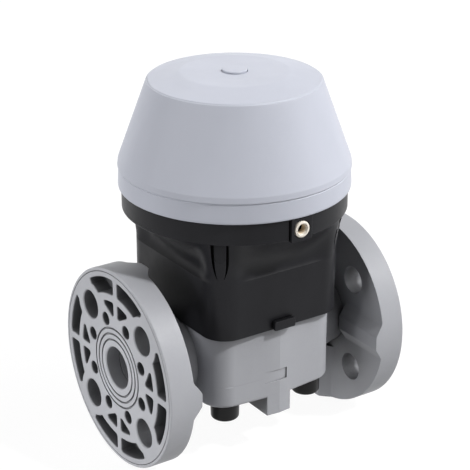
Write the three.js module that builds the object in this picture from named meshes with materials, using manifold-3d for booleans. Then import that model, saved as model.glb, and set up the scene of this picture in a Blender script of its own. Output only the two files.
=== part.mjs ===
// Pneumatic diaphragm valve, DN15, normally closed, with fixed flanges.
// Millimetres. +X runs along the pipe, +Z up the stem, and the origin is where the two axes cross.
// Rest is the closed valve: springs extended, piston down, diaphragm pressed on the weir.
import * as THREE from "three";
import { mergeVertices } from "three/addons/utils/BufferGeometryUtils.js";
import Module from "manifold-3d";

const wasm = await Module();
wasm.setup();

// ---- Driving dimensions ----
const GAP = 0.3; // between pieces that touch
const RUNNING_GAP = 0.1; // radial, between the stem and its bush
const LARGE = 32; // sides of a large round
const MEDIUM = 20;
const SMALL = 12;

const FACE_TO_FACE = 130;
const FACE_X = FACE_TO_FACE / 2;
const FLANGE_R = 47.5;
const FLANGE_THICKNESS = 12.2;
const FLANGE_BACK_X = FACE_X - FLANGE_THICKNESS;
const RIM_BEVEL = 0.7;
const BORE_R = 10;
const SOCKET_DEPTH = 5;
const RIB_HEIGHT = 4;
const RIB_CREST_HALF = 3.3;
const RIB_BASE_HALF = 8.7;
const RIB_INNER_R = 18.4;
const BOLT_CIRCLE_R = 32.8;
const FLANGE_HOLE_R = 6.8;
const MOUTH_CHAMFER = 0.9;
const POCKET_DEPTH = 7.8;
const POCKET_OUTER_R = 43.2;
const POCKET_INNER_R = 35.8;
const BOLT_WALL_R = 11.4; // wall left round each bolt hole by the outer pockets
const SMALL_POCKET_R = 32.1;
const SPOKE_HALF = 1.75;
const ROUND_POCKET_R = 3.1;
const ROUND_POCKET_CIRCLE_R = 23.4;

const BODY_HALF_X = 34.3;
const BODY_HALF_Y = 37.7; // at the crease in the middle of the front and back faces
const FACE_SLOPE = 0.1; // how far those faces fall back per millimetre from the crease
const CORNER_R = 12;
const BODY_BOTTOM = -16.9;
const SHOULDER_Z = 18.6;
const CLAMP_Z = 22.3; // top of the body, where the diaphragm is clamped
const TOP_INSET = 2.5;
const FOOT_HALF_X = 6.6;
const FOOT_BOTTOM = -26;
const FOOT_INSERT_Y = 21.5;
const FOOT_INSERT_R = 3.5;
const FOOT_INSERT_LENGTH = 7.5;
const NECK_ROOT_R = 21.1;
const NECK_END_X = 51.2; // where the neck's cone runs into its spigot
const SPIGOT_R = 16.9;
const PASSAGE_R = 9.1; // waterway beside the weir

const BONNET_HALF_X = 35.5;
const BONNET_HALF_Y = 39;
const SKIRT_BOTTOM = 19;
const LEDGE_Z = 47.3;
const LEDGE_DEPTH = 2.5;
const COLUMN_HALF = 3.5;
const SLOT_WIDTH = 1.4;
const RING_BOTTOM = 67.6;
const RING_TOP = 77.8;
const RING_R = 52.2;
const CHAMBER_R = 49.1;
const CHAMBER_FLOOR = 69.4;
const COMPRESSOR_CAVITY_R = 23.1;
const COMPRESSOR_CAVITY_TOP = 53;
const BUSH_HOLE_R = 8.4;
const PORT_Z = 72.3;
const PORT_FACE_Y = 53;
const PORT_HALF_X = 5.5;
const PORT_INSERT_R = 3.8;
const PORT_INSERT_LENGTH = 3.8;
const TAG_HALF_X = 5.7;
const TAG_BOTTOM = 19.3;
const TAG_TOP = 23.8;
const TAG_THICKNESS = 2.3;
const TONGUE_HALF_X = 4.3;
const TONGUE_BOTTOM = 20.9;
const TONGUE_TOP = 22.1;
const TONGUE_LENGTH = 2.4;

const DOME_BOTTOM = 78.1;
const SPIGOT_BOTTOM = 74.8;
const DOME_BAND_R = 53.7;
const DOME_BAND_TOP = 87;
const DOME_CREASE_R = 39.7;
const DOME_CREASE_Z = 127.7;
const DOME_PLATEAU_R = 24.8;
const DOME_TOP = 130.9;
const DOME_WALL = 3.3;
const PISTON_BORE_R = 46.3;
const PISTON_BORE_TOP = 92.5;
const O_RING_Z = 76.4;
const GUIDE_BOTTOM = 116;
const OUTER_SPRING_TOP = 125;
const OUTER_COIL_R = 29.8;
const INNER_COIL_R = 17.4;
const INNER_SPRING_SEAT_R = 22;

const BOLT_X = 23.1;
const BOLT_Y = 26.4;
const BOLT_R = 3;
const BOLT_HOLE_R = 3.6;
const BOLT_TOP = 38;
const BOLT_HEAD_R = 5;
const BOLT_HEAD_HEIGHT = 5;
const WASHER_R = 5.8;
const WASHER_THICKNESS = 1.6;
const CAP_R = 6.8;
const CAP_BOTTOM = -25.6;
const BONNET_INSERT_R = 4.6;

const STEM_R = 5;
const STEM_THREAD_R = 4;
const STEM_BOTTOM = 28.4;
const STEM_TOP = 92.5;
const RIM_R = 30.2;
const RIM_HALF_THICKNESS = 1.7; // of the clamped rim, above and below the clamp plane
const MEMBRANE_R = 23.8;
const WEIR_CREST_Z = 3.3;
const MEMBRANE_THICKNESS = 2.5;
const COMPRESSOR_R = 20.6;
const PIN_Z = 36.3;
const PISTON_HUB_BOTTOM = 74.4;
const PISTON_BOTTOM = 76.8;
const PISTON_TOP = 82.6;
const SPRING_SEAT_Z = 80.1;
const INDICATOR_R = 5.6;
const INDICATOR_TOP = 131.8;
const COMPRESSOR_TOP = 43;
const STUD_R = 2.5;
const PIN_R = 1.6;
const GROOVE_R = 6.8; // bottom of the bush's inner grooves
const UPPER_RING_Z = 67.6;
const LOWER_RING_Z = 56;
const BUSH_RING_Z = 61.5;
const SEAL_GROOVE_R = 43.3;

// ---- Materials ----
function material(color, roughness, metalness = 0) {
  return new THREE.MeshStandardMaterial({ color, roughness, metalness });
}
const bodyGrey = material(0x9fa1a6, 0.5);
const domeGrey = material(0xc4c7d2, 0.42);
const black = material(0x1f1f21, 0.45);
const rubber = material(0x141414, 0.8);
const steel = material(0xb9bcc0, 0.3, 1);
const brass = material(0xb9974e, 0.35, 1);
const nickel = material(0xe3dbd0, 0.35, 0.8);
const acetal = material(0xe8e6de, 0.5);
const springSteel = material(0x6d7178, 0.35, 1);

// ---- Solids ----
function manifoldFrom(vertProperties, triVerts) {
  return new wasm.Manifold(new wasm.Mesh({ numProp: 3, vertProperties, triVerts }));
}

// A closed geometry as a solid, turned outside out where its faces point inwards.
function solid(geometry) {
  const bare = geometry.clone();
  bare.deleteAttribute("normal");
  bare.deleteAttribute("uv");
  const merged = mergeVertices(bare, 1e-4);
  const positions = new Float32Array(merged.attributes.position.array);
  const index = Array.from(merged.index.array);
  const faces = [];
  for (let i = 0; i < index.length; i += 3) {
    const [a, b, c] = index.slice(i, i + 3);
    if (a !== b && b !== c && c !== a) faces.push(a, b, c);
  }
  const made = manifoldFrom(positions, new Uint32Array(faces));
  return made.volume() > 0 ? made : manifoldFrom(positions, new Uint32Array(faces.reverse()));
}

function geometryOf(made) {
  const mesh = made.getMesh();
  const geometry = new THREE.BufferGeometry();
  const positions = new Float32Array(mesh.vertProperties);
  geometry.setAttribute("position", new THREE.BufferAttribute(positions, 3));
  geometry.setIndex(new THREE.BufferAttribute(new Uint32Array(mesh.triVerts), 1));
  geometry.computeVertexNormals();
  return geometry;
}

function joined(first, ...others) {
  return others.reduce((sum, other) => sum.add(other), first);
}

function cut(first, ...others) {
  return others.reduce((left, other) => left.subtract(other), first);
}

// A closed profile of [radius, height] points, turned about Z.
function turned(profile, segments = LARGE) {
  const points = profile.map(([radius, height]) => new THREE.Vector2(radius, height));
  const onAxis = profile[0][0] === 0 && profile.at(-1)[0] === 0;
  if (!onAxis) points.push(points[0].clone());
  return new THREE.LatheGeometry(points, segments).rotateX(Math.PI / 2);
}

function turnedAlongX(profile, segments) {
  return turned(profile, segments).rotateY(Math.PI / 2);
}

function rod(radius, bottom, top, { x = 0, y = 0, segments = SMALL } = {}) {
  const geometry = new THREE.CylinderGeometry(radius, radius, top - bottom, segments);
  return solid(geometry.rotateX(Math.PI / 2).translate(x, y, (bottom + top) / 2));
}

function rodAlongX(radius, start, end, { y = 0, z = 0, segments = MEDIUM } = {}) {
  const geometry = new THREE.CylinderGeometry(radius, radius, end - start, segments);
  return solid(geometry.rotateZ(Math.PI / 2).translate((start + end) / 2, y, z));
}

function rodAlongY(radius, start, end, { x = 0, z = 0, segments = SMALL } = {}) {
  const geometry = new THREE.CylinderGeometry(radius, radius, end - start, segments);
  return solid(geometry.translate(x, (start + end) / 2, z));
}

function box(low, high) {
  const size = high.map((value, axis) => value - low[axis]);
  const middle = high.map((value, axis) => (value + low[axis]) / 2);
  return solid(new THREE.BoxGeometry(...size).translate(...middle));
}

// A ring of rectangular section about Z.
function ring(inner, outer, bottom, top, segments = LARGE) {
  const profile = [[inner, bottom], [outer, bottom], [outer, top], [inner, top]];
  return solid(turned(profile, segments));
}

function torus(ringRadius, tubeRadius, z, segments = MEDIUM) {
  return solid(new THREE.TorusGeometry(ringRadius, tubeRadius, 6, segments).translate(0, 0, z));
}

// A rounded rectangle whose long faces fall back by slope from a crease at x = 0.
function roundedOutline(halfX, halfY, radius, slope = 0) {
  const centreX = halfX - radius;
  const centreY = halfY - slope * centreX - radius;
  const shape = new THREE.Shape();
  shape.moveTo(0, -halfY);
  shape.lineTo(centreX, -centreY - radius);
  shape.absarc(centreX, -centreY, radius, -Math.PI / 2, 0, false);
  shape.absarc(centreX, centreY, radius, 0, Math.PI / 2, false);
  if (slope > 0) shape.lineTo(0, halfY);
  shape.absarc(-centreX, centreY, radius, Math.PI / 2, Math.PI, false);
  shape.absarc(-centreX, -centreY, radius, Math.PI, 1.5 * Math.PI, false);
  return shape;
}

function extruded(shape, bottom, top) {
  const options = { depth: top - bottom, bevelEnabled: false, curveSegments: 3 };
  return solid(new THREE.ExtrudeGeometry(shape, options).translate(0, 0, bottom));
}

// Convex rings of points with equal counts, anticlockwise seen from above, joined bottom to top.
function lofted(rings) {
  const count = rings[0].length;
  const top = (rings.length - 1) * count;
  const faces = [];
  for (let low = 0; low < top; low += count) {
    const high = low + count;
    for (let k = 0; k < count; k++) {
      const next = (k + 1) % count;
      faces.push(low + k, low + next, high + next, low + k, high + next, high + k);
    }
  }
  for (let k = 1; k + 1 < count; k++) faces.push(0, k + 1, k, top, top + k, top + k + 1);
  const geometry = new THREE.BufferGeometry();
  geometry.setAttribute("position", new THREE.Float32BufferAttribute(rings.flat(2), 3));
  geometry.setIndex(faces);
  return solid(geometry);
}

// The four quarter turns or mirror images of a corner.
const CORNERS = [[-1, -1], [1, -1], [1, 1], [-1, 1]];

// ---- Body ----
// The lower surface of the closed diaphragm, as a drop below the clamp plane.
function bowlProfile(topZ, bottomZ, radius, steps = 7) {
  const profile = [];
  for (let k = 0; k <= steps; k++) {
    const angle = (k / steps) * (Math.PI / 2);
    profile.push([radius * Math.sin(angle), topZ - (topZ - bottomZ) * Math.cos(angle)]);
  }
  return profile;
}

function bowl(bottomZ, radius) {
  const profile = [...bowlProfile(CLAMP_Z, bottomZ, radius), [radius, CLAMP_Z + 4], [0, CLAMP_Z + 4]];
  return solid(turned(profile, MEDIUM));
}

// One side's waterway: the straight bore, then a rise to the mouth beside the weir.
function waterway(side) {
  const from = new THREE.Vector3(side * BODY_HALF_X, 0, -0.3);
  const to = new THREE.Vector3(side * 10.9, 0, 5);
  const along = to.clone().sub(from);
  const passage = new THREE.CylinderGeometry(PASSAGE_R, PASSAGE_R, along.length(), SMALL);
  const up = new THREE.Vector3(0, 1, 0);
  passage.applyQuaternion(new THREE.Quaternion().setFromUnitVectors(up, along.clone().normalize()));
  passage.translate(...from.clone().addScaledVector(along, 0.5).toArray());
  const mouth = new THREE.SphereGeometry(PASSAGE_R, SMALL, 8).translate(...to.toArray());
  const reach = [side * 28, side * (FACE_X + 1)].sort((a, b) => a - b);
  return joined(solid(passage), solid(mouth), rodAlongX(BORE_R, ...reach));
}

// Both necks in one, cut flat where the bonnet's skirt comes down over them.
function necks() {
  const end = FLANGE_BACK_X + SOCKET_DEPTH;
  const profile = [[0, -end], [SPIGOT_R, -end], [SPIGOT_R, -NECK_END_X], [NECK_ROOT_R, -BODY_HALF_X]];
  const mirrored = profile.map(([radius, x]) => [radius, -x]).reverse();
  const cone = solid(turnedAlongX([...profile, ...mirrored], MEDIUM));
  const reach = BONNET_HALF_X + GAP;
  return cut(cone, box([-reach, -40, SHOULDER_Z], [reach, 40, 40]));
}

function valveBody() {
  const block = extruded(
    roundedOutline(BODY_HALF_X, BODY_HALF_Y, CORNER_R, FACE_SLOPE), BODY_BOTTOM, SHOULDER_Z);
  const topOutline = roundedOutline(
    BODY_HALF_X - TOP_INSET, BODY_HALF_Y - TOP_INSET, CORNER_R - TOP_INSET, FACE_SLOPE);
  const top = extruded(topOutline, SHOULDER_Z - 1, CLAMP_Z);
  const footY = BODY_HALF_Y - FACE_SLOPE * FOOT_HALF_X;
  const foot = box([-FOOT_HALF_X, -footY, FOOT_BOTTOM], [FOOT_HALF_X, footY, BODY_BOTTOM + 1]);
  const boltHoles = CORNERS.map(([sx, sy]) =>
    rod(BOLT_HOLE_R, BODY_BOTTOM - 1, CLAMP_Z + 1, { x: sx * BOLT_X, y: sy * BOLT_Y }));
  const insertHoles = [-1, 1].map((side) =>
    rod(FOOT_INSERT_R + GAP, FOOT_BOTTOM - 1, FOOT_BOTTOM + FOOT_INSERT_LENGTH + GAP,
      { y: side * FOOT_INSERT_Y }));
  const rimSeat = rod(RIM_R + GAP, CLAMP_Z - RIM_HALF_THICKNESS, CLAMP_Z + 1, { segments: LARGE });
  return cut(joined(block, top, foot, necks()), waterway(-1), waterway(1), rimSeat,
    bowl(WEIR_CREST_Z, MEMBRANE_R + GAP), ...boltHoles, ...insertHoles);
}

// ---- Flanges ----
// Sketches are seen from outside the inlet end: x runs along -Y and y along +Z.
const INLET_SKETCH = new THREE.Matrix4().makeBasis(
  new THREE.Vector3(0, -1, 0), new THREE.Vector3(0, 0, 1), new THREE.Vector3(-1, 0, 0));

function facePocket(shape) {
  const options = { depth: POCKET_DEPTH + 1, bevelEnabled: false, curveSegments: 2 };
  const geometry = new THREE.ExtrudeGeometry(shape, options).applyMatrix4(INLET_SKETCH);
  return solid(geometry.translate(POCKET_DEPTH - FACE_X, 0, 0));
}

// The long pocket inside the rim, from the upper spoke to the wall round the bolt hole.
function outerPocketShape() {
  const bolt = BOLT_CIRCLE_R * Math.SQRT1_2;
  const meetingAngle = (radius) => {
    const cosine = (radius ** 2 + BOLT_CIRCLE_R ** 2 - BOLT_WALL_R ** 2) / (2 * radius * BOLT_CIRCLE_R);
    return Math.PI / 4 + Math.acos(cosine);
  };
  const aroundBolt = (radius, angle) =>
    Math.atan2(radius * Math.sin(angle) - bolt, radius * Math.cos(angle) - bolt);
  const tip = meetingAngle(POCKET_OUTER_R);
  const heel = meetingAngle(POCKET_INNER_R);
  const shape = new THREE.Shape();
  shape.absarc(0, 0, POCKET_OUTER_R, tip, Math.acos(SPOKE_HALF / POCKET_OUTER_R), false);
  shape.absarc(0, 0, POCKET_INNER_R, Math.acos(SPOKE_HALF / POCKET_INNER_R), heel, true);
  shape.absarc(bolt, bolt, BOLT_WALL_R,
    aroundBolt(POCKET_INNER_R, heel), aroundBolt(POCKET_OUTER_R, tip), true);
  return shape;
}

// The small pocket beside the upper spoke, closed by a side that faces the nearest round pocket.
function innerPocketShape() {
  const tip = [10.2, 29];
  const shape = new THREE.Shape();
  shape.moveTo(SPOKE_HALF, 25.6);
  shape.lineTo(3.3, 25.3);
  shape.lineTo(...tip);
  shape.absarc(0, 0, SMALL_POCKET_R, Math.atan2(tip[1] + 1.3, tip[0]),
    Math.acos(SPOKE_HALF / SMALL_POCKET_R), false);
  return shape;
}

function pocketsAllRound(shape) {
  const one = facePocket(shape);
  const pair = [one, one.mirror([0, 1, 0])];
  return [0, 90, 180, 270].flatMap((angle) => pair.map((pocket) => pocket.rotate([angle, 0, 0])));
}

function roundPockets() {
  return [0, 1, 2, 3, 4, 5, 6, 7].map((k) => {
    const angle = ((k + 0.5) * Math.PI) / 4;
    const y = ROUND_POCKET_CIRCLE_R * Math.cos(angle);
    const z = ROUND_POCKET_CIRCLE_R * Math.sin(angle);
    return rodAlongX(ROUND_POCKET_R, -FACE_X - 1, POCKET_DEPTH - FACE_X, { y, z, segments: 8 });
  });
}

function flangeBoltHoles() {
  const offset = BOLT_CIRCLE_R * Math.SQRT1_2;
  const mouthR = FLANGE_HOLE_R + MOUTH_CHAMFER;
  const profile = [[0, -FACE_X - 1], [mouthR, -FACE_X - 1], [mouthR, -FACE_X],
    [FLANGE_HOLE_R, MOUTH_CHAMFER - FACE_X], [FLANGE_HOLE_R, 0], [0, 0]];
  const hole = solid(turnedAlongX(profile, SMALL));
  return CORNERS.map(([sy, sz]) => hole.translate([0, sy * offset, sz * offset]));
}

// Four radial ribs on the back of the rim, with sloping flanks, kept inside the rim's radius.
function backRibs() {
  const section = new THREE.Shape();
  section.moveTo(-RIB_BASE_HALF, -1);
  section.lineTo(RIB_BASE_HALF, -1);
  section.lineTo(RIB_BASE_HALF, 0);
  section.lineTo(RIB_CREST_HALF, RIB_HEIGHT);
  section.lineTo(-RIB_CREST_HALF, RIB_HEIGHT);
  section.lineTo(-RIB_BASE_HALF, 0);
  const depth = FLANGE_R + 2 - RIB_INNER_R;
  const geometry = new THREE.ExtrudeGeometry(section, { depth, bevelEnabled: false });
  geometry.applyMatrix4(new THREE.Matrix4().makeBasis(
    new THREE.Vector3(0, 1, 0), new THREE.Vector3(1, 0, 0), new THREE.Vector3(0, 0, -1)));
  const rib = solid(geometry.translate(-FLANGE_BACK_X, 0, -RIB_INNER_R));
  const ribs = joined(...[0, 90, 180, 270].map((angle) => rib.rotate([angle, 0, 0])));
  return ribs.intersect(rodAlongX(FLANGE_R, -FACE_X, 0, { segments: LARGE }));
}

function inletFlange() {
  const socketR = SPIGOT_R + GAP;
  const shoulder = -FLANGE_BACK_X - SOCKET_DEPTH - GAP;
  const profile = [[BORE_R, -FACE_X], [FLANGE_R - RIM_BEVEL, -FACE_X], [FLANGE_R, RIM_BEVEL - FACE_X],
    [FLANGE_R, -FLANGE_BACK_X], [socketR, -FLANGE_BACK_X], [socketR, shoulder], [BORE_R, shoulder]];
  const blank = joined(solid(turnedAlongX(profile, LARGE)), backRibs());
  return cut(blank, ...flangeBoltHoles(), ...roundPockets(),
    ...pocketsAllRound(outerPocketShape()), ...pocketsAllRound(innerPocketShape()));
}

// ---- Bonnet ----
function roundedRadius(angle, halfX, halfY, radius) {
  const c = Math.abs(Math.cos(angle));
  const s = Math.abs(Math.sin(angle));
  const flat = Math.min(halfX / Math.max(c, 1e-9), halfY / Math.max(s, 1e-9));
  const [cx, cy] = [halfX - radius, halfY - radius];
  if (flat * c <= cx || flat * s <= cy) return flat;
  const middle = cx * c + cy * s;
  return middle + Math.sqrt(middle ** 2 - cx ** 2 - cy ** 2 + radius ** 2);
}

// The trumpet between the ledge and the ring: a rounded rectangle below, a circle above.
function flare() {
  const count = LARGE;
  const steps = 4;
  const rings = [];
  for (let level = 0; level <= steps; level++) {
    const t = level / steps;
    const z = LEDGE_Z - 1 + t * (RING_BOTTOM + 1.5 - LEDGE_Z);
    const points = [];
    for (let k = 0; k < count; k++) {
      const angle = (k / count) * 2 * Math.PI;
      const low = roundedRadius(angle, BONNET_HALF_X - LEDGE_DEPTH, BONNET_HALF_Y - LEDGE_DEPTH,
        CORNER_R - LEDGE_DEPTH);
      const radius = low + (RING_R - 1 - low) * t ** 1.6;
      points.push([radius * Math.cos(angle), radius * Math.sin(angle), z]);
    }
    rings.push(points);
  }
  return lofted(rings);
}

// The bolt columns show between two slots at each corner of the flare.
function cornerSlots() {
  return CORNERS.flatMap(([sx, sy]) => [-1, 1].map((side) => {
    const middle = side * (COLUMN_HALF + SLOT_WIDTH / 2);
    const slot = box([43, middle - SLOT_WIDTH / 2, LEDGE_Z + 2.5], [55, middle + SLOT_WIDTH / 2, RING_BOTTOM]);
    const turn = THREE.MathUtils.radToDeg(Math.atan2(sy * BOLT_Y, sx * BOLT_X));
    return slot.rotate([0, 0, turn]);
  }));
}

function cornerColumns() {
  const outline = roundedOutline(BONNET_HALF_X, BONNET_HALF_Y, CORNER_R);
  const prism = extruded(outline, LEDGE_Z - 1, RING_BOTTOM + 1);
  const wedges = CORNERS.map(([sx, sy]) => {
    const turn = THREE.MathUtils.radToDeg(Math.atan2(sy * BOLT_Y, sx * BOLT_X));
    return box([33, -COLUMN_HALF, LEDGE_Z - 1], [55, COLUMN_HALF, RING_BOTTOM + 1]).rotate([0, 0, turn]);
  });
  return prism.intersect(joined(...wedges));
}

function bonnet() {
  const skirt = extruded(roundedOutline(BONNET_HALF_X, BONNET_HALF_Y, CORNER_R), SKIRT_BOTTOM, LEDGE_Z);
  const upperRing = rod(RING_R, RING_BOTTOM, RING_TOP, { segments: LARGE });
  const portBoss = box([-PORT_HALF_X, -PORT_FACE_Y, RING_BOTTOM - 0.8], [PORT_HALF_X, -RING_R + 3, RING_TOP]);
  const cornerHole = cut(flare(), ...cornerSlots());
  const outside = joined(skirt, cornerHole, cornerColumns(), upperRing, portBoss);
  const pocketInset = TOP_INSET - GAP;
  const skirtPocket = extruded(roundedOutline(BODY_HALF_X - pocketInset, BODY_HALF_Y - pocketInset,
    CORNER_R - pocketInset, FACE_SLOPE), SKIRT_BOTTOM - 1, CLAMP_Z + GAP);
  const rimSeat = rod(RIM_R + GAP, CLAMP_Z, CLAMP_Z + RIM_HALF_THICKNESS + GAP, { segments: LARGE });
  const cavity = rod(COMPRESSOR_CAVITY_R, CLAMP_Z, COMPRESSOR_CAVITY_TOP, { segments: MEDIUM });
  const bushHole = rod(BUSH_HOLE_R, COMPRESSOR_CAVITY_TOP - 1, CHAMBER_FLOOR + 1, { segments: MEDIUM });
  const chamber = rod(CHAMBER_R, CHAMBER_FLOOR, RING_TOP + 1, { segments: LARGE });
  const boltHoles = CORNERS.flatMap(([sx, sy]) => [
    rod(BOLT_HOLE_R, CLAMP_Z, BOLT_TOP + 4, { x: sx * BOLT_X, y: sy * BOLT_Y }),
    rod(BONNET_INSERT_R + GAP, 25, BOLT_TOP + 0.5, { x: sx * BOLT_X, y: sy * BOLT_Y }),
  ]);
  const portBottom = -PORT_FACE_Y - GAP + PORT_INSERT_LENGTH;
  const portHole = rodAlongY(PORT_INSERT_R + GAP, -PORT_FACE_Y - 1, portBottom, { z: PORT_Z });
  const airWay = rodAlongY(1.8, -PORT_FACE_Y, -CHAMBER_R + 4, { z: PORT_Z, segments: 8 });
  const tagSlot = box([-TONGUE_HALF_X - GAP, -BONNET_HALF_Y - 1, TONGUE_BOTTOM - GAP],
    [TONGUE_HALF_X + GAP, -BONNET_HALF_Y + TONGUE_LENGTH + GAP, TONGUE_TOP + GAP]);
  return cut(outside, skirtPocket, rimSeat, cavity, bushHole, chamber, ...boltHoles,
    portHole, airWay, tagSlot);
}

// A rounded plate on the skirt's lower edge, held by a tongue in the skirt's slot.
function tagPlate() {
  const face = -BONNET_HALF_Y - GAP;
  const corner = 0.7;
  const height = TAG_TOP - TAG_BOTTOM;
  const options = { depth: TAG_THICKNESS, bevelEnabled: false, curveSegments: 2 };
  const plate = new THREE.ExtrudeGeometry(roundedOutline(TAG_HALF_X, height / 2, corner), options);
  const front = solid(plate.rotateX(Math.PI / 2).translate(0, face, TAG_BOTTOM + height / 2));
  const tongue = box([-TONGUE_HALF_X, face - 1, TONGUE_BOTTOM],
    [TONGUE_HALF_X, -BONNET_HALF_Y + TONGUE_LENGTH, TONGUE_TOP]);
  return joined(front, tongue);
}

// The threaded bushing that the air line screws into, turned about the port's axis.
function airPortInsert() {
  const boreR = 2.1;
  const profile = [[boreR, 0], [PORT_INSERT_R, 0], [PORT_INSERT_R, PORT_INSERT_LENGTH - 0.3],
    [PORT_INSERT_R - 0.3, PORT_INSERT_LENGTH], [boreR + 0.7, PORT_INSERT_LENGTH],
    [boreR, PORT_INSERT_LENGTH - 0.7]];
  const geometry = turned(profile, SMALL).rotateX(Math.PI / 2);
  return solid(geometry.translate(0, PORT_INSERT_LENGTH - PORT_FACE_Y - 2 * GAP, PORT_Z));
}

// ---- Dome ----
function domeCone(z) {
  const fall = (DOME_BAND_R - DOME_CREASE_R) / (DOME_CREASE_Z - DOME_BAND_TOP - 2.5);
  return DOME_CREASE_R + (DOME_CREASE_Z - z) * fall;
}

function actuatorDome() {
  const holeR = INDICATOR_R + GAP;
  const spigotR = CHAMBER_R - GAP;
  const grooveR = spigotR - 1.4;
  const ceiling = DOME_TOP - DOME_WALL;
  const skirtTop = DOME_BAND_TOP + 3;
  const outside = [
    [PISTON_BORE_R, SPIGOT_BOTTOM], [spigotR, SPIGOT_BOTTOM], [spigotR, O_RING_Z - 0.8],
    [grooveR, O_RING_Z - 0.8], [grooveR, O_RING_Z + 0.8], [spigotR, O_RING_Z + 0.8],
    [spigotR, DOME_BOTTOM], [DOME_BAND_R - 0.5, DOME_BOTTOM], [DOME_BAND_R, DOME_BOTTOM + 0.5],
    [DOME_BAND_R - 0.5, DOME_BAND_TOP], [DOME_BAND_R, DOME_BAND_TOP + 0.9],
    [domeCone(skirtTop), skirtTop], [DOME_CREASE_R, DOME_CREASE_Z - 0.5],
    [DOME_CREASE_R - 0.7, DOME_CREASE_Z], [DOME_PLATEAU_R, DOME_TOP], [holeR + 1.3, DOME_TOP],
    [holeR + 0.9, DOME_TOP - 0.5], [holeR, DOME_TOP - 0.5],
  ];
  const inside = [
    [holeR, GUIDE_BOTTOM], [holeR + 2, GUIDE_BOTTOM], [holeR + 2.5, ceiling],
    [INNER_SPRING_SEAT_R, ceiling], [INNER_SPRING_SEAT_R + 2, OUTER_SPRING_TOP + GAP],
    [37, OUTER_SPRING_TOP + GAP], [domeCone(122) - DOME_WALL, 122], [PISTON_BORE_R, PISTON_BORE_TOP],
  ];
  return solid(turned([...outside, ...inside]));
}

// ---- Moving train ----
const MEMBRANE_TOP = CLAMP_Z + RIM_HALF_THICKNESS;
const MEMBRANE_INNER_R = MEMBRANE_R - 1.3;
const MEMBRANE_CROWN = WEIR_CREST_Z + GAP + MEMBRANE_THICKNESS;

function membrane() {
  const under = bowlProfile(CLAMP_Z + GAP, WEIR_CREST_Z + GAP, MEMBRANE_R);
  const over = bowlProfile(MEMBRANE_TOP, MEMBRANE_CROWN, MEMBRANE_INNER_R);
  return solid(turned([...under, [MEMBRANE_R, MEMBRANE_TOP], ...over.reverse()], MEDIUM));
}

function compressor() {
  const pressing = bowlProfile(MEMBRANE_TOP, MEMBRANE_CROWN + GAP, MEMBRANE_INNER_R - GAP);
  const pushingFace = pressing.filter(([radius]) => radius < COMPRESSOR_R - 1);
  const hubR = 11.5;
  const profile = [...pushingFace, [COMPRESSOR_R, 18.2], [COMPRESSOR_R, 24.8], [hubR, 30],
    [hubR, COMPRESSOR_TOP], [0, COMPRESSOR_TOP]];
  return cut(solid(turned(profile, MEDIUM)), rod(STEM_R + GAP, STEM_BOTTOM - GAP, COMPRESSOR_TOP + 1),
    rod(STUD_R + GAP, 0, STEM_BOTTOM), rodAlongY(PIN_R + GAP, -15, 15, { z: PIN_Z }));
}

function stem() {
  const shoulder = PISTON_HUB_BOTTOM - GAP;
  const chamfer = 0.7;
  const profile = [[0, STEM_BOTTOM], [STEM_R - chamfer, STEM_BOTTOM], [STEM_R, STEM_BOTTOM + chamfer],
    [STEM_R, shoulder], [STEM_THREAD_R, shoulder], [STEM_THREAD_R, STEM_TOP - chamfer],
    [STEM_THREAD_R - chamfer, STEM_TOP], [0, STEM_TOP]];
  return cut(solid(turned(profile, MEDIUM)), rodAlongY(PIN_R + GAP, -10, 10, { z: PIN_Z }));
}

// The bush in the bonnet's neck, with an inner groove near each end and one outside.
function stemGuideBush() {
  const boreR = STEM_R + RUNNING_GAP;
  const outerR = BUSH_HOLE_R - GAP;
  const seat = CHAMBER_FLOOR + GAP;
  const bottom = COMPRESSOR_CAVITY_TOP + GAP;
  const innerGroove = (z) => [[boreR, z + 0.9], [GROOVE_R, z + 0.9], [GROOVE_R, z - 0.9], [boreR, z - 0.9]];
  const profile = [
    [boreR, bottom], [outerR, bottom], [outerR, BUSH_RING_Z - 1], [outerR - 1.2, BUSH_RING_Z - 1],
    [outerR - 1.2, BUSH_RING_Z + 1], [outerR, BUSH_RING_Z + 1], [outerR, seat], [10.8, seat],
    [10.8, seat + 1.8], [boreR, seat + 1.8], ...innerGroove(UPPER_RING_Z), ...innerGroove(LOWER_RING_Z),
  ];
  return solid(turned(profile, MEDIUM));
}

function piston() {
  const outerR = PISTON_BORE_R - 0.4;
  const boreR = STEM_THREAD_R + GAP;
  const hubTop = SPRING_SEAT_Z + 3.4;
  const profile = [
    [boreR, PISTON_HUB_BOTTOM], [9.1, PISTON_HUB_BOTTOM], [10, PISTON_BOTTOM], [outerR, PISTON_BOTTOM],
    [outerR, 78.4], [SEAL_GROOVE_R, 78.4], [SEAL_GROOVE_R, 81], [outerR, 81], [outerR, PISTON_TOP],
    [40.5, PISTON_TOP], [39, SPRING_SEAT_Z], [12, SPRING_SEAT_Z], [11.2, hubTop], [boreR, hubTop],
  ];
  return solid(turned(profile));
}

function pistonSeal() {
  const innerR = SEAL_GROOVE_R + GAP;
  const lipR = PISTON_BORE_R - 0.2;
  const profile = [[innerR, 78.7], [lipR - 0.4, 78.7], [lipR, 79.7], [lipR - 0.4, 80.7], [innerR, 80.7]];
  return solid(turned(profile));
}

// A coil of round wire with flat ends, about Z.
function coilSpring(coilR, wireR, bottom, top, turns) {
  const low = bottom + wireR;
  const rise = top - bottom - 2 * wireR;
  class Helix extends THREE.Curve {
    getPoint(t, target = new THREE.Vector3()) {
      const angle = t * turns * 2 * Math.PI;
      return target.set(coilR * Math.cos(angle), coilR * Math.sin(angle), low + rise * t);
    }
  }
  const section = new THREE.Shape();
  section.absarc(0, 0, wireR, 0, 2 * Math.PI, false);
  const options = { steps: Math.round(turns * 10), extrudePath: new Helix(), curveSegments: 3 };
  return solid(new THREE.ExtrudeGeometry(section, { ...options, bevelEnabled: false }));
}

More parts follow.
